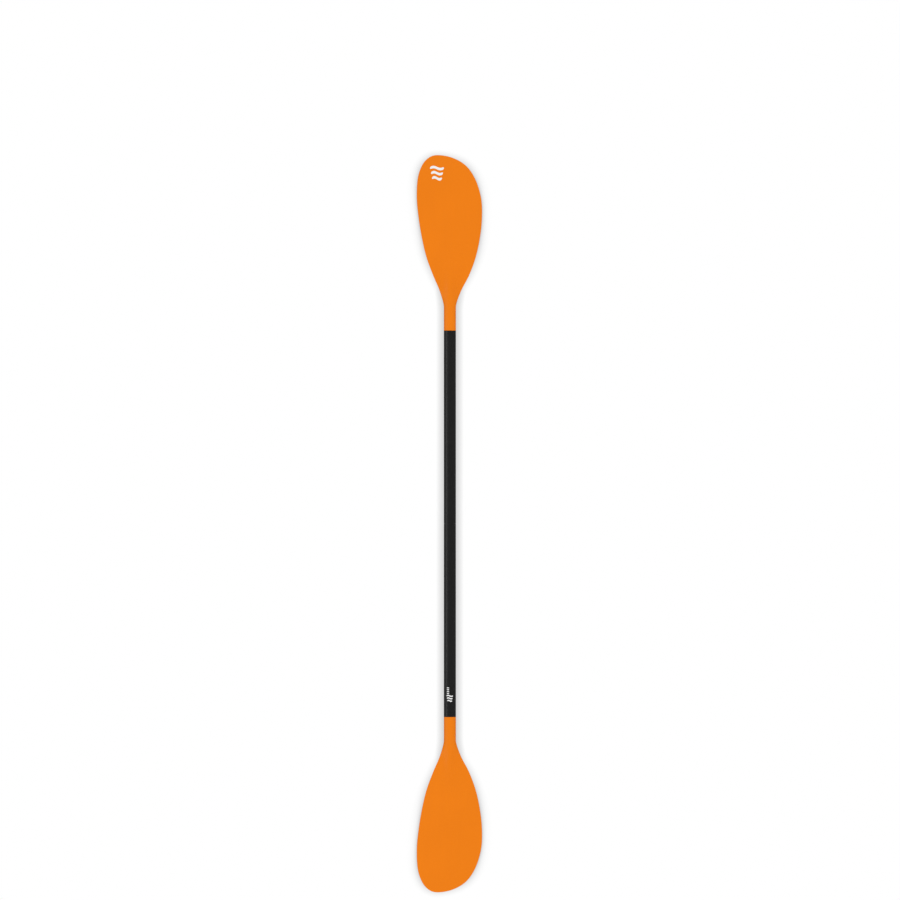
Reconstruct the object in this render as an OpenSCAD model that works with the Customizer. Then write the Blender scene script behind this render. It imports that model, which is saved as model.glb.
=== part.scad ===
// Two-piece kayak paddle, lying on the backs of its blades.
// +Y runs along the shaft towards the upper blade, +Z is the side of the power faces.
// The origin is on the shaft's axis, at its middle, where the two halves meet.

/* [Paddle] */
// Overall length, tip to tip
paddle_len = 1970; // [1900:5:2100]
// Length of a blade, from the end of its straight neck to its tip
blade_len = 408; // [390:2:430]
// Length of the straight neck of a blade
neck_len = 61; // [40:1:100]

/* [Shaft] */
// Outer diameter of the shaft and of the blade necks
shaft_d = 32; // [31:0.5:34]
// Wall thickness of the shaft tubes
tube_wall = 1.6; // [1.2:0.1:1.8]
// Gap between the ends of the two tubes
seam = 0.3; // [0.2:0.1:1]
// Gap filled by adhesive round each bonded sleeve
bond_line = 0.05; // [0.03:0.01:0.1]

/* [Blade] */
// Depth of the lengthwise spoon of the power face
spoon = 14; // [8:1:20]
// How far the side edges lie back from the middle of the blade
dihedral = 6; // [3:0.5:8]
// Thickness at the middle of the blade, beyond the ribs
plate_t = 4.2; // [4:0.2:7]
// Thickness at the edge of the blade
edge_t = 2.2; // [2:0.2:3.4]
// Height of the power face's rib at the neck
front_rib = 13; // [10:0.5:14]
// Height of the back's rib at the neck
back_rib = 13.2; // [10:0.5:14]

/* [Blade spigot] */
// Length of the spigot inside the tube
spigot_len = 90; // [60:5:120]
// Diameter of the hollow through the spigot and the neck
hollow_d = 22; // [16:1:23]
// Length of the tapered end of the hollow
taper_len = 55; // [30:5:60]

/* [Ferrule] */
// Bore of the socket
socket_d = 25; // [24:0.1:25.4]
// Depth of the socket
socket_len = 92; // [90:1:110]
// Radial clearance between the insert and the socket
running_gap = 0.08; // [0.05:0.01:0.1]
// Length of the insert inside the socket
stem_len = 82; // [78:1:84]
// Length of the insert bonded in the lower tube
root_len = 72; // [50:1:90]
// Bore of the insert
insert_bore_d = 20; // [19:0.5:20.5]

/* [Snap button] */
// Diameter of the button
button_d = 7.9; // [7:0.1:8]
// Clearance round the button, on the radius
button_gap = 0.15; // [0.1:0.05:0.3]
// Distance of the button from the middle of the shaft
button_y = 45; // [40:1:50]
// Height of the button above the outside of the shaft
button_rise = 1.2; // [0.6:0.1:1.5]
// Angle between the feather holes
feather = 60; // [45:15:90]

/* [Hidden] */
$fn = 96;
eps = 0.01;

shaft_r = shaft_d / 2;
tube_bore_r = shaft_r - tube_wall;
bonded_r = tube_bore_r - bond_line;
socket_r = socket_d / 2;
stem_r = socket_r - running_gap;
insert_bore_r = insert_bore_d / 2;
button_r = button_d / 2;
button_hole_r = button_r + button_gap;
seam_y = seam / 2;
shaft_end = paddle_len / 2 - blade_len - neck_len;

// Seal ring and its groove
groove_y = 5.5;
groove_w = 2.4;
groove_floor_r = stem_r - 1.2;
ring_wire_r = 0.6;
ring_r = groove_floor_r + ring_wire_r + 0.06;

// Bevel at the socket's mouth, and the bevel of the insert's nose
mouth_bevel = 1;
nose_len = 1;
nose_in = 0.8;

// Leaf spring: its flat ends carry the button and run between two places along the shaft
leaf_t = 0.8;
leaf_w = 8;
leaf_z = 8.6;
leaf_bend_r = 3;
leaf_bend_y = 17;
leaf_flat = [38, 54];

// The button's dome, and the rivet that holds the button in the leaf
dome_r = 1.6;
rivet_r = 1.9;
rivet_hole_r = 2.2;
rivet_head = 1;

// Foam bungs and the insert's end cap
bung_len = 20;
bung_gap = 4;
bung_recess = 2;
cap_plug_len = 12;
cap_flange_t = 2.5;

// Outline of the blade, seen on its power face, as [across, along] from the end of the neck.
// The long edge is on the left and the cut-back edge on the right, and both end at the tip.
outline_len = 408;
tip_x = -33;
long_edge = [
    [-shaft_r, 0], [-26.5, 43], [-44.5, 86], [-62.5, 135], [-75, 188], [-83.5, 240],
    [-88.5, 292], [-86, 346], [-73.5, 382.5], [-54.5, 402.5], [tip_x, outline_len]
];
short_edge = [
    [shaft_r, 0], [29, 43], [51, 86], [69, 135], [80.5, 188], [85.8, 240],
    [83.8, 292], [69, 342], [44, 379], [8, 400.5], [tip_x, outline_len]
];
neck_tangent = [0, 35];
tip_tangent_long = [22, 0];
tip_tangent_short = [-38, 0];

// Section of the blade. Places along it are shares of its length, from 0 at the neck to 1.
// The spoon's curve, share * share * (1 - share), peaks at 4 / 27
spoon_scale = 27 / 4;
// The vee of the dihedral: half its width at the widest, and the round at its bottom
vee_half_w = 85.2;
vee_round = 15;
// Where the dihedral grows from nothing to its whole depth
vee_grows = [0.08, 0.5];
// Where it fades again, and by how much
vee_fades = [0.75, 1];
vee_fade = 0.4;
// Where the round neck has become a plate
plate_from = 0.13;
// Each rib's height at the neck, the share at which it ends, and how fast it falls
front = [front_rib, 0.45, 1.5];
back = [back_rib, 0.8, 1.3];
// Half width of the ribs at the neck and at their ends
rib_w = [14, 10];
rib_narrows_from = 0.1;
// Ribs fade out within this distance of the blade's edge
rib_shore = 6;
// Radius of the hollow where its taper ends
hollow_tip_r = 4;

// Stations along the outline: even up to the tip's curve, then closer together
rings = 42;
tip_start = 0.965;
stations = concat(
    [for (i = [0:rings - 1]) tip_start * i / (rings - 1)],
    [0.978, 0.989, 0.996]
);
// Points across each face of the blade
across = 20;

orange = [0.94, 0.506, 0.098];
near_black = [0.13, 0.13, 0.126];
dark_grey = [0.2, 0.2, 0.21];
foam_grey = [0.55, 0.56, 0.57];
steel = [0.72, 0.72, 0.7];
seal_black = [0.06, 0.06, 0.06];

// ---- Curves and profiles ----

function smooth(a, b, v) =
    let (s = min(1, max(0, (v - a) / (b - a)))) s * s * (3 - 2 * s);

// Tangent of the outline at point i, one segment long
function tangent(pts, i, tip_tangent) =
    i == 0 ? neck_tangent : i == len(pts) - 1 ? tip_tangent : (pts[i + 1] - pts[i - 1]) / 2;

// Point of the spline through pts at t from 0 to 1
function spline(pts, t, tip_tangent) =
    let (
        last = len(pts) - 2,
        i = min(last, floor(t * (last + 1))),
        s = t * (last + 1) - i,
        m0 = tangent(pts, i, tip_tangent),
        m1 = tangent(pts, i + 1, tip_tangent)
    )
    pts[i] * (2 * s * s * s - 3 * s * s + 1) + m0 * (s * s * s - 2 * s * s + s)
    + pts[i + 1] * (3 * s * s - 2 * s * s * s) + m1 * (s * s * s - s * s);

// How far the vee of the dihedral has opened, x from the middle
function vee(x) = sqrt(x * x + vee_round * vee_round) - vee_round;

// Height of the blade's middle layer: spooned lengthwise, edges laid back
function mid_z(x, u) =
    -spoon * spoon_scale * u * u * (1 - u)
    - dihedral * vee(x) / vee(vee_half_w) * smooth(vee_grows[0], vee_grows[1], u)
        * (1 - vee_fade * smooth(vee_fades[0], vee_fades[1], u));

// Half thickness of the plate at s across, with round edges of the given depth
function half_plate(s, depth) =
    let (
        edge = edge_t / 2,
        inward = min(1, depth / edge),
        body = edge + (plate_t / 2 - edge) * (1 - s * s)
    )
    body * sqrt(inward * (2 - inward));

// Height of a face above the middle layer: round at the neck, a rib on a plate further on
function face_h(x, s, u, depth, rib) =
    let (
        k = smooth(0, plate_from, u),
        fade = pow(1 - smooth(0, rib[1], u), rib[2]),
        w = rib_w[0] + (rib_w[1] - rib_w[0]) * smooth(rib_narrows_from, rib[1], u)
    )
    (1 - k) * shaft_r * sqrt(max(0, 1 - s * s))
    + k * (half_plate(s, depth) + rib[0] * fade * exp(-pow(x / w, 2)) * min(1, depth / rib_shore));

// Closing of the thickness round the tip, from the last stations
function tip_close(t) =
    let (v = max(0, t - tip_start) / (1 - tip_start)) sqrt(1 - v * v);

// One point of the blade: side is +1 on the power face and -1 on the back
function blade_point(t, s, side) =
    let (
        l = spline(long_edge, t, tip_tangent_long),
        r = spline(short_edge, t, tip_tangent_short),
        p = (l + r) / 2 + s * (r - l) / 2,
        u = p[1] / outline_len,
        depth = (1 - abs(s)) * norm(r - l) / 2,
        h = face_h(p[0], s, u, depth, side > 0 ? front : back)
    )
    [p[0], p[1] * blade_len / outline_len, mid_z(p[0], u) + side * h * tip_close(t)];

// A closed ring round the blade: across the power face, then back across the other
function ring(t) = concat(
    [for (j = [0:across]) blade_point(t, -cos(180 * j / across), 1)],
    [for (j = [across - 1:-1:1]) blade_point(t, -cos(180 * j / across), -1)]
);

// ---- Shapes that repeat ----

// A tube or a rod along +Y
module along_y(r, y0, y1) {
    translate([0, y0, 0]) rotate([-90, 0, 0]) cylinder(r = r, h = y1 - y0);
}

module tube_y(r, bore, y0, y1) {
    difference() {
        along_y(r, y0, y1);
        along_y(bore, y0 - 1, y1 + 1);
    }
}

// A drill through the back of the shaft, at an angle round it
module back_drill(angle) {
    rotate([0, angle, 0]) translate([0, button_y, -shaft_r - 2])
        cylinder(r = button_hole_r, h = shaft_r + 2);
}

module feather_drills() {
    for (angle = [-feather, 0, feather]) back_drill(angle);
}

// The blade's skin with its neck, from the end of the tube to the tip
module blade_skin() {
    n = 2 * across;
    body = [for (t = stations) each ring(t)];
    neck = [for (p = ring(0)) [p[0], -neck_len, p[2]]];
    tip = [tip_x, blade_len, mid_z(tip_x, 1)];
    points = concat(neck, body, [tip]);
    rows = len(stations) + 1;
    sides = [for (i = [0:rows - 2], j = [0:n - 1])
        let (a = i * n + j, b = i * n + (j + 1) % n)
        each [[a, a + n, b], [b, a + n, b + n]]];
    tip_fan = [for (j = [0:n - 1]) [(rows - 1) * n + j, rows * n, (rows - 1) * n + (j + 1) % n]];
    base = [[for (j = [0:n - 1]) j]];
    polyhedron(points, concat(base, sides, tip_fan), convexity = 6);
}

module blade() {
    color(orange) translate([0, shaft_end, 0]) difference() {
        union() {
            translate([0, neck_len, 0]) blade_skin();
            along_y(bonded_r, -spigot_len, 1);
        }
        along_y(hollow_d / 2, -spigot_len - 1, neck_len);
        translate([0, neck_len - eps, 0]) rotate([-90, 0, 0])
            cylinder(r1 = hollow_d / 2, r2 = hollow_tip_r, h = taper_len);
    }
}

module blade_bung() {
    bung_y = shaft_end - spigot_len + bung_recess;
    color(foam_grey) along_y(hollow_d / 2 - bond_line, bung_y, bung_y + bung_len);
}

// ---- Upper half ----

module upper_blade() {
    blade();
}

module upper_blade_bung() {
    blade_bung();
}

module upper_shaft_tube() {
    color(near_black) difference() {
        tube_y(shaft_r, tube_bore_r, seam_y, shaft_end);
        feather_drills();
    }
}

module upper_shaft_bung() {
    color(foam_grey) along_y(bonded_r, socket_len + bung_gap, socket_len + bung_gap + bung_len);
}

module ferrule_socket() {
    color(dark_grey) difference() {
        tube_y(bonded_r, socket_r, seam_y, socket_len);
        translate([0, seam_y - eps, 0]) rotate([-90, 0, 0])
            cylinder(r1 = socket_r + mouth_bevel, r2 = socket_r, h = mouth_bevel);
        feather_drills();
    }
}

// ---- Joint between the halves ----

module ferrule_seal_ring() {
    color(seal_black) translate([0, groove_y + groove_w / 2, 0]) rotate([-90, 0, 0])
        rotate_extrude() translate([ring_r, 0]) circle(r = ring_wire_r, $fn = 32);
}

// ---- Lower half ----

module ferrule_insert() {
    color(dark_grey) difference() {
        union() {
            along_y(bonded_r, -root_len, -seam_y);
            along_y(stem_r, -root_len, stem_len - nose_len);
            translate([0, stem_len - nose_len, 0]) rotate([-90, 0, 0])
                cylinder(r1 = stem_r, r2 = stem_r - nose_in, h = nose_len);
        }
        along_y(insert_bore_r, -root_len - 1, stem_len + 1);
        tube_y(stem_r + 1, groove_floor_r, groove_y, groove_y + groove_w);
        back_drill(0);
    }
}

module insert_end_cap() {
    color(dark_grey) union() {
        along_y(insert_bore_r - bond_line, stem_len - cap_plug_len, stem_len + cap_flange_t);
        along_y(stem_r - nose_in, stem_len, stem_len + cap_flange_t);
    }
}

// Middle line of one leg of the leaf, from the middle of the bend, along the shaft and up
function leaf_leg() =
    let (
        gap = [leaf_flat[0] - leaf_bend_y, leaf_z],
        reach = norm(gap),
        turn = atan2(gap[1], gap[0]) + acos(leaf_bend_r / reach)
    )
    concat(
        [for (a = [180:-10:turn]) [leaf_bend_y + leaf_bend_r * cos(a), leaf_bend_r * sin(a)]],
        [[leaf_bend_y + leaf_bend_r * cos(turn), leaf_bend_r * sin(turn)]],
        [[leaf_flat[0], leaf_z], [leaf_flat[1], leaf_z]]
    );

// Points of a line moved sideways by d
function beside(line, d) = [for (i = [0:len(line) - 1])
    let (
        a = line[max(0, i - 1)],
        b = line[min(len(line) - 1, i + 1)],
        way = (b - a) / norm(b - a)
    )
    line[i] + d * [-way[1], way[0]]];

module leaf_side_view() {
    leg = leaf_leg();
    line = concat([for (i = [len(leg) - 1:-1:1]) [leg[i][0], -leg[i][1]]], leg);
    outer = beside(line, leaf_t / 2);
    inner = beside(line, -leaf_t / 2);
    polygon(concat(outer, [for (i = [len(inner) - 1:-1:0]) inner[i]]));
}

module button_spring() {
    color(steel) difference() {
        rotate([90, 0, 90]) translate([0, 0, -leaf_w / 2]) linear_extrude(leaf_w) leaf_side_view();
        translate([0, button_y, -insert_bore_r]) cylinder(r = rivet_hole_r, h = insert_bore_r);
    }
}

module snap_button() {
    top = shaft_r + button_rise;
    foot = leaf_z + leaf_t / 2 + bond_line;
    head_y = leaf_z - leaf_t / 2 - bond_line;
    head_r = rivet_r + rivet_head;
    rivet = [[0, head_y - rivet_head], [head_r, head_y - rivet_head], [head_r, head_y],
        [rivet_r, head_y], [rivet_r, foot]];
    body = [[button_r, foot], [button_r, top - dome_r]];
    dome = [for (a = [15:15:90]) [button_r - dome_r + dome_r * cos(a), top - dome_r + dome_r * sin(a)]];
    color(steel) translate([0, button_y, 0]) rotate([180, 0, 0]) rotate_extrude()
        polygon(concat(rivet, body, dome, [[0, top]]));
}

module lower_shaft_bung() {
    color(foam_grey) along_y(bonded_r, -root_len - bung_gap - bung_len, -root_len - bung_gap);
}

module lower_shaft_tube() {
    color(near_black) tube_y(shaft_r, tube_bore_r, -shaft_end, -seam_y);
}

module lower_blade_bung() {
    mirror([0, 1, 0]) blade_bung();
}

module lower_blade() {
    mirror([0, 1, 0]) blade();
}

upper_blade();
upper_blade_bung();
upper_shaft_tube();
upper_shaft_bung();
ferrule_socket();
ferrule_seal_ring();
ferrule_insert();
insert_end_cap();
button_spring();
snap_button();
lower_shaft_bung();
lower_shaft_tube();
lower_blade_bung();
lower_blade();
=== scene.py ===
"""Looks of a take-apart kayak paddle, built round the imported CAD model.

The paddle lies on the backs of its blades: +Y runs along the shaft, +Z is the power faces' side.
Lengths are in metres unless a name ends in _MM.
"""

import math

import bmesh
import bpy
import numpy as np
from mathutils import Matrix, Vector
from mathutils.bvhtree import BVHTree


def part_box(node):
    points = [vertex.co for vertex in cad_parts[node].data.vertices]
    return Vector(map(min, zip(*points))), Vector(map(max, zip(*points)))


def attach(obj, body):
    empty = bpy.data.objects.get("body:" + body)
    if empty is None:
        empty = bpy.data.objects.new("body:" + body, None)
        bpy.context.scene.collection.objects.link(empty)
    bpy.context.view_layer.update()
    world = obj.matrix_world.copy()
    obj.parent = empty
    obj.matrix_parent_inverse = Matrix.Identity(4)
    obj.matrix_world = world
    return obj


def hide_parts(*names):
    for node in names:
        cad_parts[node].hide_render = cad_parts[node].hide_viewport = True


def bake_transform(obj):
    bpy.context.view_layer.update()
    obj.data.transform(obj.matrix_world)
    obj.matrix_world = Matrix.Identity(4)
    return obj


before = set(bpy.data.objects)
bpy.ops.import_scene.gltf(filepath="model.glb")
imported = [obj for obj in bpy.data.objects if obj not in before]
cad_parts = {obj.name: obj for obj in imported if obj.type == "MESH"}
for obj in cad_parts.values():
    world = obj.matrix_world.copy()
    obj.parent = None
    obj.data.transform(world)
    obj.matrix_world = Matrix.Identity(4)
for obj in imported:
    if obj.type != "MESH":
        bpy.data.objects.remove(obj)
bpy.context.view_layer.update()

MM = 0.001

# ---- Places and sizes, from the frame ----

tube_low, tube_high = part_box("upper_shaft_tube")
SHAFT_R = tube_high.x
SEAM_Y = tube_low.y
SHAFT_END = tube_high.y
BLADE_LOW, BLADE_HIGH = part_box("upper_blade")
SPIGOT_END = BLADE_LOW.y
TIP_Y = BLADE_HIGH.y
BONDED_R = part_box("ferrule_socket")[1].x
BUTTON_LOW, BUTTON_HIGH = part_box("snap_button")
BUTTON_Y = (BUTTON_LOW.y + BUTTON_HIGH.y) / 2
FLOOR_Z = BLADE_LOW.z

# ---- The blade's design, as the CAD states it, in millimetres ----

BLADE_LEN_MM = 408
SHAFT_R_MM = SHAFT_R / MM
NECK_END = TIP_Y - BLADE_LEN_MM * MM
SPOON_MM = 14
# The spoon's curve, share * share * (1 - share), peaks at 4 / 27
SPOON_SCALE = 27 / 4
DIHEDRAL_MM = 6
# The round at the bottom of the dihedral's vee, and how far the vee has opened at the widest
VEE_ROUND_MM = 15
VEE_OPENING_MM = 71.5
# Shares of the blade's length where the dihedral grows and where it fades again, and by how much
VEE_GROWS = (0.08, 0.5)
VEE_FADES = (0.75, 1)
VEE_FADE = 0.4
PLATE_MM = 4.2
EDGE_MM = 2.2
# Where the round neck has become a plate
PLATE_FROM = 0.13
# Each rib's height at the neck, the share at which it ends, and how fast it falls
FRONT_RIB = (13, 0.45, 1.5)
BACK_RIB = (13.2, 0.8, 1.3)
# Half width of the ribs at the neck and at their ends
RIB_WIDTHS_MM = (14, 10)
RIB_NARROWS_FROM = 0.1
# Ribs fade out within this distance of the blade's edge
RIB_SHORE_MM = 6

# Outline of the blade, as (across, along) from the end of the neck
LONG_EDGE = np.array([
    (-16, 0), (-26.5, 43), (-44.5, 86), (-62.5, 135), (-75, 188), (-83.5, 240),
    (-88.5, 292), (-86, 346), (-73.5, 382.5), (-54.5, 402.5), (-33, 408),
], float)
SHORT_EDGE = np.array([
    (16, 0), (29, 43), (51, 86), (69, 135), (80.5, 188), (85.8, 240),
    (83.8, 292), (69, 342), (44, 379), (8, 400.5), (-33, 408),
], float)
NECK_TANGENT = (0, 35)
TIP_TANGENT_LONG = (22, 0)
TIP_TANGENT_SHORT = (-38, 0)

# Points across each face of the blade's mesh, and rings along it
ACROSS = 56
STATIONS = 150

# ---- The rest of the CAD's sizes that the meshes need ----

HOLLOW_R = 11 * MM
HOLLOW_TIP_R = 4 * MM
HOLLOW_TAPER = 55 * MM
HOLE_R = 4.1 * MM
FEATHER = math.radians(60)
TUBE_BORE_R = BONDED_R + 0.05 * MM

# ---- Fine patterns of the finishes ----

# The shaft's winding: bands turn round it once in a pitch, each of them several tows wide
WINDING_PITCH = 48 * MM
WINDING_BANDS = 4
TOWS_PER_BAND = 16
# Distance between the ferrule's turning lines
TURNING_FEED = 0.45 * MM


# ---- Curves of the blade ----


def smooth(low, high, value):
    share = np.clip((value - low) / (high - low), 0, 1)
    return share * share * (3 - 2 * share)


def spline(points, tip_tangent, t):
    """Points of the outline's spline at every t from 0 to 1."""
    tangents = np.empty_like(points)
    tangents[0] = NECK_TANGENT
    tangents[-1] = tip_tangent
    tangents[1:-1] = (points[2:] - points[:-2]) / 2
    spans = len(points) - 1
    i = np.minimum(spans - 1, np.floor(t * spans).astype(int))
    s = (t * spans - i)[:, None]
    return (
        points[i] * (2 * s**3 - 3 * s**2 + 1)
        + tangents[i] * (s**3 - 2 * s**2 + s)
        + points[i + 1] * (3 * s**2 - 2 * s**3)
        + tangents[i + 1] * (s**3 - s**2)
    )


def mid_height(x, along):
    """The blade's middle layer: spooned lengthwise, with its edges laid back.

    x is in millimetres, and along is a share of the blade's length.
    """
    spoon = SPOON_MM * SPOON_SCALE * along * along * (1 - along)
    laid_back = DIHEDRAL_MM * smooth(*VEE_GROWS, along) * (1 - VEE_FADE * smooth(*VEE_FADES, along))
    vee = np.sqrt(x * x + VEE_ROUND_MM**2) - VEE_ROUND_MM
    return -spoon - laid_back * vee / VEE_OPENING_MM


def half_plate(across, depth):
    """Half the plate's thickness, with round edges. across goes from -1 to 1."""
    edge = EDGE_MM / 2
    inward = np.minimum(1, depth / edge)
    body = edge + (PLATE_MM / 2 - edge) * (1 - across * across)
    return body * np.sqrt(inward * (2 - inward))


def face_height(x, across, along, depth, rib):
    """Height of a face above the middle layer: round at the neck, a rib on a plate further on."""
    rib_height, rib_end, rib_power = rib
    flat = smooth(0, PLATE_FROM, along)
    fade = (1 - smooth(0, rib_end, along)) ** rib_power
    wide, narrow = RIB_WIDTHS_MM
    rib_w = wide - (wide - narrow) * smooth(RIB_NARROWS_FROM, rib_end, along)
    shore = np.minimum(1, depth / RIB_SHORE_MM)
    ridge = rib_height * fade * np.exp(-((x / rib_w) ** 2)) * shore
    round_part = (1 - flat) * SHAFT_R_MM * np.sqrt(np.maximum(0, 1 - across * across))
    return round_part + flat * (half_plate(across, depth) + ridge)


def distance_to_outline(points, outline):
    """Distance of each point to a closed polyline, in the plane."""
    step = np.roll(outline, -1, axis=0) - outline
    length2 = np.maximum((step**2).sum(1), 1e-12)
    way = points[:, None] - outline[None]
    along = np.clip((way * step).sum(2) / length2, 0, 1)
    return np.sqrt(((way - along[..., None] * step) ** 2).sum(2)).min(1)


def loop_parameters():
    """How far across each point of a ring is, from -1 to 1, and which face it is on."""
    turn = np.linspace(0, math.pi, ACROSS + 1)
    front = -np.cos(turn)
    back = front[-2:0:-1]
    side = np.concatenate([np.ones(ACROSS + 1), -np.ones(ACROSS - 1)])
    return np.concatenate([front, back]), side


def blade_rings():
    """Rings from the end of the neck to the tip, in metres, and each point's depth from the rim."""
    t = np.linspace(0, 1, STATIONS + 1)
    left = spline(LONG_EDGE, TIP_TANGENT_LONG, t)
    right = spline(SHORT_EDGE, TIP_TANGENT_SHORT, t)
    outline = np.concatenate([left, right[::-1]])
    across, side = loop_parameters()
    rings, depths = [], []
    for start, end in zip(left[:-1], right[:-1]):
        points = (start + end) / 2 + across[:, None] * (end - start) / 2
        x, y = points[:, 0], points[:, 1]
        along = y / BLADE_LEN_MM
        depth = distance_to_outline(points, outline)
        front = face_height(x, across, along, depth, FRONT_RIB)
        back = face_height(x, across, along, depth, BACK_RIB)
        z = mid_height(x, along) + np.where(side > 0, front, -back)
        rings.append(np.stack([x * MM, NECK_END + y * MM, z * MM], axis=1))
        depths.append(depth * MM)
    tip = Vector((left[-1][0] * MM, TIP_Y, float(mid_height(left[-1][0], 1.0)) * MM))
    return rings, depths, tip


# ---- Mesh helpers ----

# Edges shorter than this are closed up after a cut
SLIVER = 0.005 * MM


def finish_mesh(bm, name, sharp_degrees=38):
    """A bmesh as an object of its own, smooth but for its sharp edges."""
    bmesh.ops.recalc_face_normals(bm, faces=bm.faces)
    mesh = bpy.data.meshes.new(name)
    bm.to_mesh(mesh)
    bm.free()
    mesh.polygons.foreach_set("use_smooth", [True] * len(mesh.polygons))
    mesh.set_sharp_from_angle(angle=math.radians(sharp_degrees))
    obj = bpy.data.objects.new(name, mesh)
    bpy.context.scene.collection.objects.link(obj)
    return obj


def bridge(bm, ring_a, ring_b):
    n = len(ring_a)
    for j in range(n):
        k = (j + 1) % n
        bm.faces.new((ring_a[j], ring_b[j], ring_b[k], ring_a[k]))


def circle_ring(bm, r, y, across, side):
    """A round ring whose points match a blade ring's, one for one."""
    z = side * np.sqrt(np.maximum(0, 1 - across**2))
    return [bm.verts.new((r * a, y, r * h)) for a, h in zip(across, z)]


def lathe(name, profile, segments=160, sharp_degrees=38):
    """A solid of revolution round the shaft's axis, from (radius, y) points.

    A profile whose two ends are on the axis makes a solid body, and any other one a ring.
    """
    bm = bmesh.new()
    solid = profile[0][0] == profile[-1][0] == 0
    rings = []
    for r, y in profile:
        ring = []
        for j in range(segments):
            a = 2 * math.pi * j / segments
            ring.append(bm.verts.new((r * math.sin(a), y, r * math.cos(a))))
        rings.append(ring)
    for a, b in zip(rings, rings[1:]):
        bridge(bm, a, b)
    if solid:
        bmesh.ops.remove_doubles(bm, verts=bm.verts, dist=1e-7)
    else:
        bridge(bm, rings[-1], rings[0])
    return finish_mesh(bm, name, sharp_degrees)


def apply_difference(obj, cutters):
    """Cuts the cutters out of obj for good, clears the slivers left, and removes the cutters."""
    for cutter in cutters:
        cut = obj.modifiers.new("cut", "BOOLEAN")
        cut.operation = "DIFFERENCE"
        cut.solver = "EXACT"
        cut.object = cutter
    bpy.context.view_layer.update()
    graph = bpy.context.evaluated_depsgraph_get()
    mesh = bpy.data.meshes.new_from_object(obj.evaluated_get(graph))
    obj.modifiers.clear()
    obj.data = mesh
    for cutter in cutters:
        bpy.data.objects.remove(cutter)
    bm = bmesh.new()
    bm.from_mesh(mesh)
    bmesh.ops.triangulate(bm, faces=bm.faces)
    bmesh.ops.remove_doubles(bm, verts=bm.verts, dist=SLIVER)
    bmesh.ops.dissolve_degenerate(bm, edges=bm.edges, dist=SLIVER)
    bm.to_mesh(mesh)
    bm.free()
    mesh.set_sharp_from_angle(angle=math.radians(30))


# ---- Material helpers ----


class Shader:
    """A material with its Principled shader, and short calls for the nodes round it."""

    def __init__(self, name, roughness, **constants):
        self.material = bpy.data.materials.new(name)
        self.material.use_nodes = True
        self.tree = self.material.node_tree
        self.shader = self.tree.nodes["Principled BSDF"]
        self.shader.inputs["Roughness"].default_value = roughness
        for socket, value in constants.items():
            self.shader.inputs[socket.replace("_", " ")].default_value = value
        self.place = self.tree.nodes.new("ShaderNodeTexCoord").outputs["Object"]

    def link(self, a, b):
        self.tree.links.new(a, b)
        return b

    def stretched(self, scale):
        """Object coordinates, scaled differently along each axis."""
        node = self.tree.nodes.new("ShaderNodeMapping")
        node.inputs["Scale"].default_value = scale
        self.link(self.place, node.inputs["Vector"])
        return node.outputs["Vector"]

    def noise(self, scale, detail=3.0, place=None, roughness=0.5):
        node = self.tree.nodes.new("ShaderNodeTexNoise")
        node.inputs["Scale"].default_value = scale
        node.inputs["Detail"].default_value = detail
        node.inputs["Roughness"].default_value = roughness
        self.link(place or self.place, node.inputs["Vector"])
        return node.outputs["Fac"]

    def cells(self, scale):
        node = self.tree.nodes.new("ShaderNodeTexVoronoi")
        node.inputs["Scale"].default_value = scale
        self.link(self.place, node.inputs["Vector"])
        return node.outputs["Distance"]

    def math(self, operation, a, b=None, c=None):
        node = self.tree.nodes.new("ShaderNodeMath")
        node.operation = operation
        for socket, value in zip(node.inputs, (a, b, c)):
            if isinstance(value, (int, float)):
                socket.default_value = value
            elif value is not None:
                self.link(value, socket)
        return node.outputs["Value"]

    def ranged(self, value, low, high, from_low=0.0, from_high=1.0):
        node = self.tree.nodes.new("ShaderNodeMapRange")
        node.inputs["From Min"].default_value = from_low
        node.inputs["From Max"].default_value = from_high
        node.inputs["To Min"].default_value = low
        node.inputs["To Max"].default_value = high
        self.link(value, node.inputs["Value"])
        return node.outputs["Result"]

    def mix(self, factor, a, b):
        """A colour between a and b, each a colour or an output."""
        node = self.tree.nodes.new("ShaderNodeMix")
        node.data_type = "RGBA"
        self.link(factor, node.inputs["Factor"])
        for index, value in ((6, a), (7, b)):
            if isinstance(value, tuple):
                node.inputs[index].default_value = (*value, 1)
            else:
                self.link(value, node.inputs[index])
        return node.outputs[2]

    def colour(self, value):
        self.link(value, self.shader.inputs["Base Color"])

    def rough(self, value):
        self.link(value, self.shader.inputs["Roughness"])

    def bump(self, *layers):
        """Bump from (height, strength, distance) layers, the finest last."""
        normal = None
        for height, strength, distance in layers:
            node = self.tree.nodes.new("ShaderNodeBump")
            node.inputs["Strength"].default_value = strength
            node.inputs["Distance"].default_value = distance
            self.link(height, node.inputs["Height"])
            if normal is not None:
                self.link(normal, node.inputs["Normal"])
            normal = node.outputs["Normal"]
        self.link(normal, self.shader.inputs["Normal"])

    def attribute(self, name):
        node = self.tree.nodes.new("ShaderNodeAttribute")
        node.attribute_name = name
        return node.outputs["Fac"]

    def axes(self):
        node = self.tree.nodes.new("ShaderNodeSeparateXYZ")
        self.link(self.place, node.inputs["Vector"])
        return node.outputs["X"], node.outputs["Y"], node.outputs["Z"]


# ---- Materials ----


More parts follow.
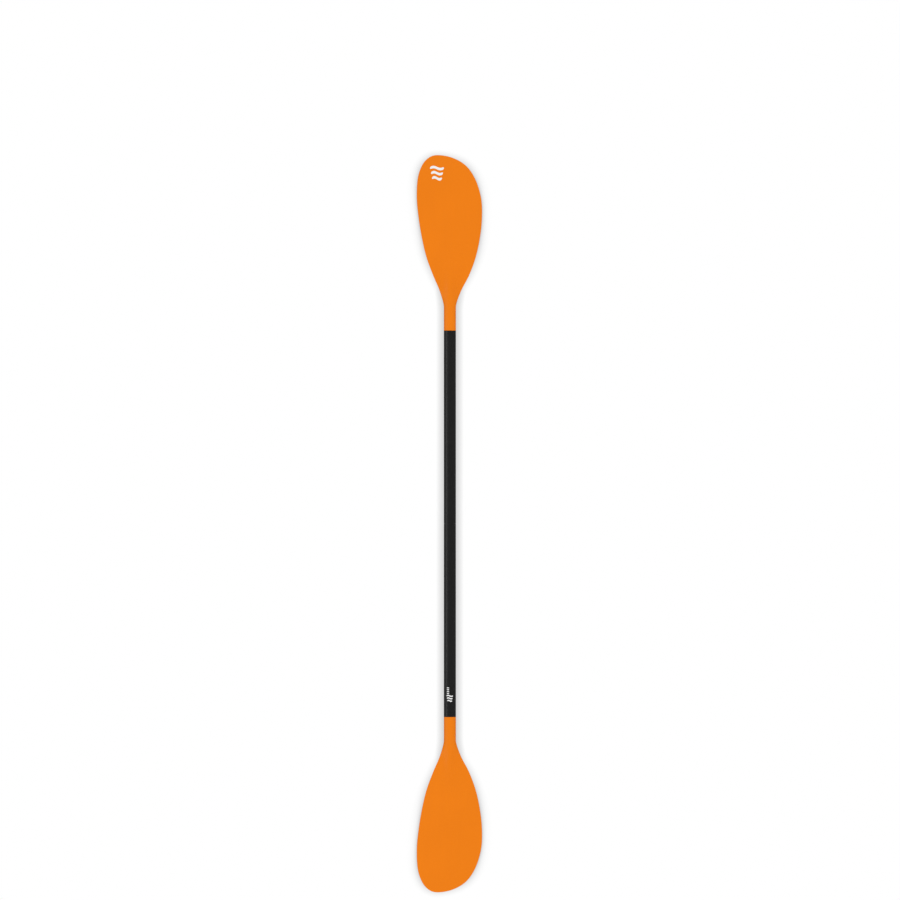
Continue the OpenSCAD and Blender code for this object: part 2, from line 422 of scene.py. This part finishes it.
def blade_plastic():
    """Through-coloured orange plastic, with the fine spark texture of its mould."""
    m = Shader("blade_plastic", 0.42, Specular_IOR_Level=0.13)
    cloud = m.noise(9, 4)
    flow = m.noise(1, 5, m.stretched((55, 5, 55)))
    spark = m.noise(2600, 2, roughness=0.6)
    scuff = m.noise(1, 6, m.stretched((900, 60, 900)), 0.7)
    base = m.mix(m.ranged(cloud, 0, 1, 0.3, 0.7), (0.848, 0.2055, 0.0003), (0.878, 0.2135, 0.0004))
    streaked = m.mix(m.ranged(flow, 0, 0.22, 0.35, 0.75), base, (0.80, 0.188, 0.0003))
    rim = m.ranged(m.attribute("rim"), 1, 0, 0, 0.0016)
    worn = m.math("MULTIPLY", rim, m.ranged(m.noise(420, 4), 0, 0.35, 0.5, 0.75))
    fleck = m.ranged(spark, 0, 0.5, 0.46, 0.7)
    flecked = m.mix(fleck, streaked, (0.72, 0.155, 0.0002))
    m.colour(m.mix(worn, flecked, (0.88, 0.30, 0.04)))
    grain = m.ranged(spark, -0.05, 0.05)
    rub = m.ranged(scuff, 0, 0.08, 0.55, 0.8)
    m.rough(m.math("ADD", m.math("ADD", grain, rub), m.ranged(flow, 0.38, 0.44)))
    m.bump((flow, 0.08, 0.0006), (spark, 0.25, 0.00012))
    return m.material


def shaft_laminate():
    """Near-black wound laminate: bands of fibre cross in diamonds under a satin coat."""
    m = Shader("shaft_laminate", 0.4, Specular_IOR_Level=0.4)
    x, y, z = m.axes()
    turn = m.math("DIVIDE", m.math("ARCTAN2", x, z), 2 * math.pi)
    along = m.math("DIVIDE", y, WINDING_PITCH)
    right = m.math("MULTIPLY", m.math("ADD", along, turn), WINDING_BANDS * math.pi)
    left = m.math("MULTIPLY", m.math("SUBTRACT", along, turn), WINDING_BANDS * math.pi)
    diamonds = m.math("MULTIPLY", m.math("SINE", right), m.math("SINE", left))
    right_on_top = m.ranged(diamonds, 0, 1, -0.08, 0.08)
    right_tows = m.math("SINE", m.math("MULTIPLY", left, TOWS_PER_BAND))
    left_tows = m.math("SINE", m.math("MULTIPLY", right, TOWS_PER_BAND))
    other_way = m.math("SUBTRACT", right_tows, left_tows)
    tows = m.math("MULTIPLY_ADD", right_on_top, other_way, left_tows)
    fibre = m.noise(1, 3, m.stretched((700, 90, 700)))
    dust = m.noise(1800, 2)
    tone = m.math("ADD", m.ranged(tows, 0.15, 0.6, -1, 1), m.ranged(fibre, -0.15, 0.4, 0.3, 0.7))
    m.colour(m.mix(tone, (0.0102, 0.0102, 0.0098), (0.0176, 0.0176, 0.0170)))
    m.rough(m.math("ADD", m.ranged(right_on_top, 0.385, 0.40), m.ranged(dust, -0.03, 0.05)))
    m.bump((tows, 0.4, 0.000012), (dust, 0.12, 0.00003))
    return m.material


def ferrule_plastic():
    """Glass-filled nylon, turned to size, with specks of fibre."""
    m = Shader("ferrule_plastic", 0.5)
    y = m.axes()[1]
    lines = m.math("SINE", m.math("MULTIPLY", y, 2 * math.pi / TURNING_FEED))
    specks = m.noise(1500, 3)
    m.colour(m.mix(m.ranged(specks, 0, 1, 0.5, 0.75), (0.026, 0.026, 0.028), (0.05, 0.05, 0.052)))
    m.rough(m.ranged(m.noise(120, 4), 0.42, 0.58))
    m.bump((lines, 0.12, 0.00003), (specks, 0.15, 0.00004))
    return m.material


def seal_rubber():
    m = Shader("seal_rubber", 0.6)
    bloom = m.noise(380, 4)
    m.colour(m.mix(m.ranged(bloom, 0, 1, 0.4, 0.8), (0.010, 0.010, 0.010), (0.028, 0.028, 0.028)))
    m.rough(m.ranged(bloom, 0.5, 0.72))
    m.bump((m.noise(2400, 2), 0.15, 0.00003),)
    return m.material


def spring_steel():
    """Stainless steel with fine rolling lines and a few handling marks."""
    m = Shader("spring_steel", 0.3, Metallic=1.0)
    rolled = m.noise(1, 3, m.stretched((4200, 160, 4200)))
    spots = m.noise(260, 5)
    m.colour(m.mix(m.ranged(spots, 0, 1, 0.4, 0.8), (0.60, 0.60, 0.58), (0.47, 0.46, 0.44)))
    m.rough(m.math("ADD", m.ranged(rolled, 0.2, 0.38), m.ranged(spots, 0, 0.1, 0.5, 0.9)))
    m.bump((rolled, 0.1, 0.00003),)
    return m.material


def bung_foam():
    m = Shader("bung_foam", 0.9)
    pores = m.cells(900)
    m.colour(m.mix(m.ranged(pores, 0, 1, 0, 0.6), (0.17, 0.18, 0.19), (0.30, 0.31, 0.32)))
    m.rough(m.ranged(pores, 0.95, 0.82))
    m.bump((pores, 0.6, 0.0003), (m.noise(2500, 2), 0.2, 0.00005))
    return m.material


def mark_ink():
    """White print, slightly thin in places."""
    m = Shader("mark_ink", 0.5)
    thin = m.noise(700, 4)
    m.colour(m.mix(m.ranged(thin, 0, 1, 0.62, 0.9), (0.86, 0.86, 0.85), (0.74, 0.72, 0.68)))
    m.rough(m.ranged(thin, 0.42, 0.6))
    m.bump((m.noise(2600, 2), 0.15, 0.00003),)
    return m.material


def use(obj, material):
    obj.data.materials.clear()
    obj.data.materials.append(material)


# ---- Blades ----


SPIGOT_CHAMFER = 0.4 * MM
GLUE_GROOVE = 0.35 * MM
GLUE_GROOVE_PITCH = 15 * MM
# The rim wears from this far past the neck, and everything else counts as this deep inside it
RIM_START = NECK_END + 60 * MM
FAR_INSIDE = 20 * MM


def neck_profile():
    """The round part of a blade as (radius, y): out along the hollow, back over spigot and neck."""
    profile = [
        (HOLLOW_TIP_R, NECK_END + HOLLOW_TAPER),
        (HOLLOW_R, NECK_END),
        (HOLLOW_R, SPIGOT_END + SPIGOT_CHAMFER),
        (HOLLOW_R + SPIGOT_CHAMFER, SPIGOT_END),
        (BONDED_R - 2 * SPIGOT_CHAMFER, SPIGOT_END),
        (BONDED_R, SPIGOT_END + 2 * SPIGOT_CHAMFER),
    ]
    y = SPIGOT_END + GLUE_GROOVE_PITCH
    while y < SHAFT_END - GLUE_GROOVE_PITCH / 2:
        profile += [
            (BONDED_R, y),
            (BONDED_R - GLUE_GROOVE, y + GLUE_GROOVE),
            (BONDED_R - GLUE_GROOVE, y + 3 * GLUE_GROOVE),
            (BONDED_R, y + 4 * GLUE_GROOVE),
        ]
        y += GLUE_GROOVE_PITCH
    return profile + [
        (BONDED_R, SHAFT_END),
        (SHAFT_R - SPIGOT_CHAMFER, SHAFT_END),
        (SHAFT_R - SPIGOT_CHAMFER * 0.3, SHAFT_END + SPIGOT_CHAMFER * 0.3),
        (SHAFT_R, SHAFT_END + SPIGOT_CHAMFER),
        (SHAFT_R, (SHAFT_END + NECK_END) / 2),
    ]


def make_blade(name, hand):
    """A whole blade: skin, neck, spigot and the hollow through them. hand is 1 or -1 along Y."""
    across, side = loop_parameters()
    rings, depths, tip = blade_rings()
    bm = bmesh.new()
    rim_layer = bm.verts.layers.float.new("rim")
    loops = []
    for r, y in neck_profile():
        loop = circle_ring(bm, r, y, across, side)
        for v in loop:
            v[rim_layer] = FAR_INSIDE
        loops.append(loop)
    for ring, depth in zip(rings, depths):
        loop = [bm.verts.new(p) for p in ring]
        for v, d in zip(loop, depth):
            v[rim_layer] = float(d) if v.co.y > RIM_START else FAR_INSIDE
        loops.append(loop)
    for a, b in zip(loops, loops[1:]):
        bridge(bm, a, b)
    bm.faces.new(loops[0])
    top = bm.verts.new(tip)
    last = loops[-1]
    for j, v in enumerate(last):
        bm.faces.new((v, top, last[(j + 1) % len(last)]))
    if hand < 0:
        bmesh.ops.transform(bm, matrix=Matrix.Scale(-1, 4, (0, 1, 0)), verts=bm.verts)
    return finish_mesh(bm, name)


orange = blade_plastic()
upper_blade = make_blade("upper_blade_moulding", 1)
lower_blade = make_blade("lower_blade_moulding", -1)
for blade, node, body in (
    (upper_blade, "upper_blade", "upper_half"),
    (lower_blade, "lower_blade", "lower_half"),
):
    use(blade, orange)
    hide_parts(node)
    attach(blade, body)

# ---- Shaft tubes ----


def tube_profile(y0, y1):
    """Outside and inside of a tube, with its ends' edges broken."""
    broken = 0.3 * MM
    parts = 16
    places = [y0 + broken + (y1 - y0 - 2 * broken) * k / parts for k in range(parts + 1)]
    return (
        [(TUBE_BORE_R + broken, y0), (SHAFT_R - broken, y0)]
        + [(SHAFT_R, y) for y in places]
        + [(SHAFT_R - broken, y1), (TUBE_BORE_R + broken, y1)]
        + [(TUBE_BORE_R, y) for y in reversed(places)]
    )


def feather_cutter(angle):
    """A drill through the back of the tube, turned round the shaft by an angle."""
    bpy.ops.mesh.primitive_cylinder_add(vertices=64, radius=HOLE_R, depth=SHAFT_R)
    cutter = bpy.context.object
    cutter.data.transform(Matrix.Translation((0, BUTTON_Y, -SHAFT_R)))
    cutter.data.transform(Matrix.Rotation(angle, 4, "Y"))
    return cutter


laminate = shaft_laminate()
upper_tube = lathe("upper_shaft_laminate", tube_profile(SEAM_Y, SHAFT_END))
apply_difference(upper_tube, [feather_cutter(a) for a in (-FEATHER, 0, FEATHER)])
lower_tube = lathe("lower_shaft_laminate", tube_profile(-SHAFT_END, -SEAM_Y))
for tube, node, body in (
    (upper_tube, "upper_shaft_tube", "upper_half"),
    (lower_tube, "lower_shaft_tube", "lower_half"),
):
    use(tube, laminate)
    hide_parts(node)
    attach(tube, body)

# ---- Snap button and its leaf spring ----

LEAF_T = 0.8 * MM
LEAF_W = 8 * MM
# Each leaf's flat end lies this far from the shaft's axis
LEAF_Z = 8.6 * MM
LEAF_BEND_R = 3 * MM
LEAF_BEND_Y = 17 * MM
LEAF_FLAT_Y = (38 * MM, 54 * MM)
RIVET_R = 1.9 * MM
RIVET_HEAD = 1 * MM
# Play of the rivet in the leaf's hole, and of the leaf between the rivet's head and the button
RIVET_PLAY = 0.3 * MM
LEAF_PLAY = 0.05 * MM
BUTTON_DOME_R = 1.6 * MM
BUTTON_CROWN = 0.15 * MM
BUTTON_EDGE = 0.2 * MM


def rounded(centre_r, centre_y, radius, start, end, steps):
    """Points of an arc in a lathe's profile, between two angles in degrees."""
    angles = (math.radians(start + (end - start) * k / steps) for k in range(steps + 1))
    return [(centre_r + radius * math.cos(a), centre_y + radius * math.sin(a)) for a in angles]


def make_button():
    """The button and its rivet through the leaf: turned along +Y, then stood out of the back."""
    r = (BUTTON_HIGH.x - BUTTON_LOW.x) / 2
    top = -BUTTON_LOW.z
    rivet_end = -BUTTON_HIGH.z
    head = rivet_end + RIVET_HEAD
    foot = head + LEAF_T + 2 * LEAF_PLAY
    crown_r = r - BUTTON_DOME_R
    profile = (
        [(0, rivet_end)]
        + rounded(RIVET_R, head, RIVET_HEAD, -90, 0, 8)
        + [(RIVET_R, head), (RIVET_R, foot), (r - BUTTON_EDGE, foot), (r, foot + BUTTON_EDGE)]
        + rounded(crown_r, top - BUTTON_CROWN - BUTTON_DOME_R, BUTTON_DOME_R, 0, 84, 12)
        + [(crown_r * share, top - BUTTON_CROWN * share**2) for share in (0.75, 0.5, 0.25)]
        + [(0, top)]
    )
    button = lathe("snap_button_steel", profile, 96, 50)
    to_back = Matrix.Translation((0, BUTTON_Y, 0)) @ Matrix.Rotation(math.radians(-90), 4, "X")
    button.data.transform(to_back)
    return button


def leaf_line():
    """Middle line of one leaf as (y, z) points: half the bend, the slope and the flat end."""
    slope_y = LEAF_FLAT_Y[0] - LEAF_BEND_Y
    reach = math.hypot(slope_y, LEAF_Z)
    turn = math.atan2(LEAF_Z, slope_y) + math.acos(LEAF_BEND_R / reach)
    bend_steps, slope_steps, flat_steps = 16, 32, 8
    bend = [math.pi + (turn - math.pi) * k / bend_steps for k in range(bend_steps + 1)]
    line = [
        (LEAF_BEND_Y + LEAF_BEND_R * math.cos(a), LEAF_BEND_R * math.sin(a)) for a in bend
    ]
    bend_y, bend_z = line[-1]
    for k in range(1, slope_steps + 1):
        share = k / slope_steps
        line.append((
            bend_y + (LEAF_FLAT_Y[0] - bend_y) * share,
            bend_z + (LEAF_Z - bend_z) * share,
        ))
    flat = LEAF_FLAT_Y[1] - LEAF_FLAT_Y[0]
    for k in range(1, flat_steps + 1):
        line.append((LEAF_FLAT_Y[0] + flat * k / flat_steps, LEAF_Z))
    return line


def make_leaf(name, up):
    """One leaf of the spring as a strip with broken edges. up is 1 for the upper leaf."""
    half_w, half_t, edge = LEAF_W / 2, LEAF_T / 2, 0.15 * MM
    section = [
        (half_w - edge, half_t), (half_w, half_t - edge), (half_w, edge - half_t),
        (half_w - edge, -half_t), (edge - half_w, -half_t), (-half_w, edge - half_t),
        (-half_w, half_t - edge), (edge - half_w, half_t),
    ]
    line = [Vector((0, y, up * z)) for y, z in leaf_line()]
    bm = bmesh.new()
    loops = []
    for i, point in enumerate(line):
        way = (line[min(i + 1, len(line) - 1)] - line[max(i - 1, 0)]).normalized()
        if i == 0:
            way = Vector((0, 0, up))
        out = way.cross(Vector((1, 0, 0)))
        loops.append([bm.verts.new(point + Vector((x, 0, 0)) + out * t) for x, t in section])
    for a, b in zip(loops, loops[1:]):
        bridge(bm, a, b)
    bm.faces.new(loops[0])
    bm.faces.new(loops[-1])
    return finish_mesh(bm, name)


def make_spring():
    """The V spring in two pieces, one for each leaf; the leaf with the button gets a hole for its
    rivet.
    """
    steady = make_leaf("button_spring_steady_leaf", 1)
    moving = make_leaf("button_spring_moving_leaf", -1)
    bpy.ops.mesh.primitive_cylinder_add(
        vertices=48, radius=RIVET_R + RIVET_PLAY, depth=LEAF_Z, location=(0, BUTTON_Y, -LEAF_Z)
    )
    apply_difference(moving, [bpy.context.object])
    return steady, moving


steel = spring_steel()
snap_button = make_button()
steady_leaf, moving_leaf = make_spring()
for piece in (snap_button, steady_leaf, moving_leaf):
    use(piece, steel)
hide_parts("snap_button")
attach(snap_button, "button")
for leaf in (steady_leaf, moving_leaf):
    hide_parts("button_spring")
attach(steady_leaf, "lower_half")
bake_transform(moving_leaf)

# ---- Ferrule, seal and bungs: CAD shapes with their finishes ----

for finish, nodes in (
    (ferrule_plastic, ("ferrule_socket", "ferrule_insert", "insert_end_cap")),
    (seal_rubber, ("ferrule_seal_ring",)),
    (bung_foam, ("upper_blade_bung", "lower_blade_bung", "upper_shaft_bung", "lower_shaft_bung")),
):
    material = finish()
    for node in nodes:
        use(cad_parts[node], material)

# ---- Printed marks: plain wave lines and bars ----

INK_LIFT = 0.06 * MM


class Ink:
    """Flat strokes laid on a surface, each a thin closed skin of print.

    drop_to gives the point of the surface under an x and y, and the way out of it.
    """

    def __init__(self, drop_to):
        self.bm = bmesh.new()
        self.drop_to = drop_to

    def stroke(self, x0, x1, y, thick, swing=0.0, steps=40):
        """A stroke from x0 to x1 with round ends, as one wave of the given swing."""
        width = x1 - x0
        rows = []
        for i in range(steps + 1):
            f = (1 - math.cos(math.pi * i / steps)) / 2
            to_end = min(f, 1 - f) * width / (thick / 2)
            half = thick / 2 * math.sqrt(max(0.01, 1 - max(0.0, 1 - to_end) ** 2))
            x = x0 + width * f
            middle = y + swing * math.sin(2 * math.pi * f)
            row = []
            for offset, out in ((-half, 1), (0, 1), (half, 1), (half, -1), (0, -1), (-half, -1)):
                point, way = self.drop_to(x, middle + offset)
                row.append(self.bm.verts.new(point + way * out * INK_LIFT))
            rows.append(row)
        for a, b in zip(rows, rows[1:]):
            bridge(self.bm, a, b)
        self.bm.faces.new(rows[0])
        self.bm.faces.new(rows[-1])

    def waves(self, centre, width, height, lines=3):
        """Wave lines one under another, each a little shorter than the one above."""
        thick = height / (2 * lines - 1)
        for line in range(lines):
            half = width / 2 * (1 - 0.14 * line)
            y = centre[1] + height / 2 - thick / 2 - 2 * thick * line
            self.stroke(centre[0] - half, centre[0] + half, y, thick, swing=0.4 * thick)


def drop_to_blade(blade):
    """A drop_to for the face of a blade that is turned up."""
    high_above = 0.1
    tree = BVHTree.FromPolygons(
        [v.co for v in blade.data.vertices], [p.vertices for p in blade.data.polygons]
    )

    def drop(x, y):
        point, _, _, _ = tree.ray_cast(Vector((x, y, high_above)), Vector((0, 0, -1)))
        return point, Vector((0, 0, 1))

    return drop


def drop_to_shaft(x, y):
    """A drop_to that wraps the print round the shaft, x along its round."""
    angle = x / SHAFT_R
    way = Vector((math.sin(angle), 0, math.cos(angle)))
    return way * SHAFT_R + Vector((0, y, 0)), way


def make_blade_mark():
    ink = Ink(drop_to_blade(upper_blade))
    ink.waves((-34.5 * MM, TIP_Y - 48 * MM), 37 * MM, 34 * MM)
    return finish_mesh(ink.bm, "upper_blade_mark")


def make_shaft_mark():
    """A small badge, with a row of bars beside it that leads up the shaft."""
    ink = Ink(drop_to_shaft)
    badge_y = -SHAFT_END + 50 * MM
    ink.waves((-0.5 * MM, badge_y), 18 * MM, 16.5 * MM)
    for bar in range(4):
        y = badge_y + (13 + 5 * bar) * MM
        ink.stroke(-8.5 * MM, -2 * MM, y, 2.4 * MM, steps=16)
    return finish_mesh(ink.bm, "lower_shaft_mark")


ink_finish = mark_ink()
for mark, body in ((make_blade_mark(), "upper_half"), (make_shaft_mark(), "lower_half")):
    use(mark, ink_finish)
    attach(mark, body)

# ---- Floor, light and camera ----

# How much of the frame's side the paddle's length takes up
PADDLE_SHARE = 0.819222
VIEW_WIDTH = 2 * TIP_Y / PADDLE_SHARE
VIEW_CENTRE = (0.3 * MM, 197 * MM)
LENS_MM = 250
SENSOR_MM = 36

# The floor lies a little below the blades, so that its painted shadow reaches out past their thin
# edges
FLOOR_GAP = 6 * MM
SHADOW_REACH = 30 * MM
# How pale the floor's painted shadow is where this share of the space near above it is open
FLOOR_SHADOW_GREYS = (
    (0.05, 0.14), (0.35, 0.40), (0.64, 0.69), (0.80, 0.825), (0.90, 0.91), (0.96, 0.97), (1.0, 1.0),
)


def make_floor():
    """A clear sheet over an even white, with a painted shadow that greys it only where the paddle
    is close above it.

    It takes no light from the backs of the blades, which the sky lights through it.
    """
    half = 12
    mesh = bpy.data.meshes.new("floor")
    corners = [(-half, -half), (half, -half), (half, half), (-half, half)]
    mesh.from_pydata([(x, y, FLOOR_Z - FLOOR_GAP) for x, y in corners], [], [(0, 1, 2, 3)])
    floor = bpy.data.objects.new("floor", mesh)
    bpy.context.scene.collection.objects.link(floor)
    material = bpy.data.materials.new("floor_shadow_sheet")
    material.use_nodes = True
    tree = material.node_tree
    tree.nodes.clear()
    # Painted shadow: ambient occlusion sets the sheet's grey, so the paddle's shade on the floor is
    # painted into its colour
    shadow_openness = tree.nodes.new("ShaderNodeAmbientOcclusion")
    shadow_openness.inputs["Distance"].default_value = SHADOW_REACH
    shadow_openness.samples = 16
    painted_shadow = tree.nodes.new("ShaderNodeValToRGB")
    ramp = painted_shadow.color_ramp
    ramp.elements[0].position, ramp.elements[1].position = FLOOR_SHADOW_GREYS[0][0], FLOOR_SHADOW_GREYS[-1][0]
    for openness, _ in FLOOR_SHADOW_GREYS[1:-1]:
        ramp.elements.new(openness)
    for element, (_, value) in zip(ramp.elements, FLOOR_SHADOW_GREYS):
        element.color = (value, value, value, 1)
    ray = tree.nodes.new("ShaderNodeLightPath")
    shadow_or_clear = tree.nodes.new("ShaderNodeMath")
    shadow_or_clear.operation = "MAXIMUM"
    sheet = tree.nodes.new("ShaderNodeBsdfTransparent")
    out = tree.nodes.new("ShaderNodeOutputMaterial")
    tree.links.new(shadow_openness.outputs["AO"], painted_shadow.inputs["Fac"])
    tree.links.new(painted_shadow.outputs["Color"], shadow_or_clear.inputs[0])
    tree.links.new(ray.outputs["Is Diffuse Ray"], shadow_or_clear.inputs[1])
    tree.links.new(shadow_or_clear.outputs["Value"], sheet.inputs["Color"])
    tree.links.new(sheet.outputs["BSDF"], out.inputs["Surface"])
    mesh.materials.append(material)


class Sky:
    """The studio round the paddle, as nodes on the direction a ray goes in."""

    def __init__(self):
        world = bpy.data.worlds.new("studio")
        bpy.context.scene.world = world
        world.use_nodes = True
        world.cycles.sampling_method = "NONE"
        self.tree = world.node_tree
        where = self.tree.nodes.new("ShaderNodeTexCoord").outputs["Generated"]
        split = self.tree.nodes.new("ShaderNodeSeparateXYZ")
        self.tree.links.new(where, split.inputs["Vector"])
        self.along, self.up = split.outputs["Y"], split.outputs["Z"]
        self.ray = self.tree.nodes.new("ShaderNodeLightPath").outputs

    def fill(self, node, values):
        for index, value in values:
            if isinstance(value, (int, float)):
                node.inputs[index].default_value = value
            else:
                self.tree.links.new(value, node.inputs[index])
        return node

    def math(self, operation, a, b=0.0):
        node = self.tree.nodes.new("ShaderNodeMath")
        node.operation = operation
        return self.fill(node, ((0, a), (1, b))).outputs[0]

    def band(self, value, low, high, below, above):
        """A value that goes smoothly from below to above as another goes from low to high."""
        node = self.tree.nodes.new("ShaderNodeMapRange")
        node.interpolation_type = "SMOOTHSTEP"
        return self.fill(node, enumerate((value, low, high, below, above))).outputs["Result"]

    def choose(self, flag, off, on):
        node = self.tree.nodes.new("ShaderNodeMix")
        return self.fill(node, ((0, flag), (2, off), (3, on))).outputs[0]


def make_world():
    """An even white studio, darker from below. Gloss mirrors it mostly towards its two ends."""
    sky = Sky()
    diffuse = sky.band(sky.up, -0.3, 0.3, 0.60, 1.06)
    ends = sky.band(sky.math("ABSOLUTE", sky.along), 0.3, 0.75, 0, 0.75)
    low_down = sky.math("MULTIPLY", ends, sky.band(sky.up, 0.25, 0.75, 1, 0))
    gloss = sky.math("ADD", low_down, sky.band(sky.up, 0.1, 0.9, 0.10, 0.03))
    seen = sky.choose(sky.ray["Is Glossy Ray"], diffuse, gloss)
    seen = sky.choose(sky.ray["Is Camera Ray"], seen, 1.0)
    background = sky.tree.nodes["Background"]
    background.inputs["Color"].default_value = (1, 1, 1, 1)
    sky.tree.links.new(seen, background.inputs["Strength"])


def area_light(name, place, size, size_y, power):
    """A soft box aimed at the middle of the paddle, its first side level and its second upright."""
    data = bpy.data.lights.new(name, "AREA")
    data.shape = "RECTANGLE"
    data.size = size
    data.size_y = size_y
    data.energy = power
    light = bpy.data.objects.new(name, data)
    bpy.context.scene.collection.objects.link(light)
    light.location = place
    light.rotation_euler = (-Vector(place)).to_track_quat("-Z", "Y").to_euler()
    light.visible_diffuse = False
    light.visible_camera = False
    return light


def make_camera():
    data = bpy.data.cameras.new("camera")
    data.lens = LENS_MM
    data.sensor_width = SENSOR_MM
    data.clip_end = 100
    camera = bpy.data.objects.new("camera", data)
    bpy.context.scene.collection.objects.link(camera)
    camera.location = (*VIEW_CENTRE, VIEW_WIDTH * LENS_MM / SENSOR_MM)
    bpy.context.scene.camera = camera


make_floor()
make_world()
make_camera()
area_light("side_strip", (-2.6, 0, 1.05), 6.0, 0.36, 27)
area_light("far_box", (0.6, 4.2, 2.2), 2.2, 1.2, 12)
area_light("near_box", (-0.6, -4.2, 2.2), 2.2, 1.2, 12)
bpy.context.scene.view_settings.view_transform = "Standard"
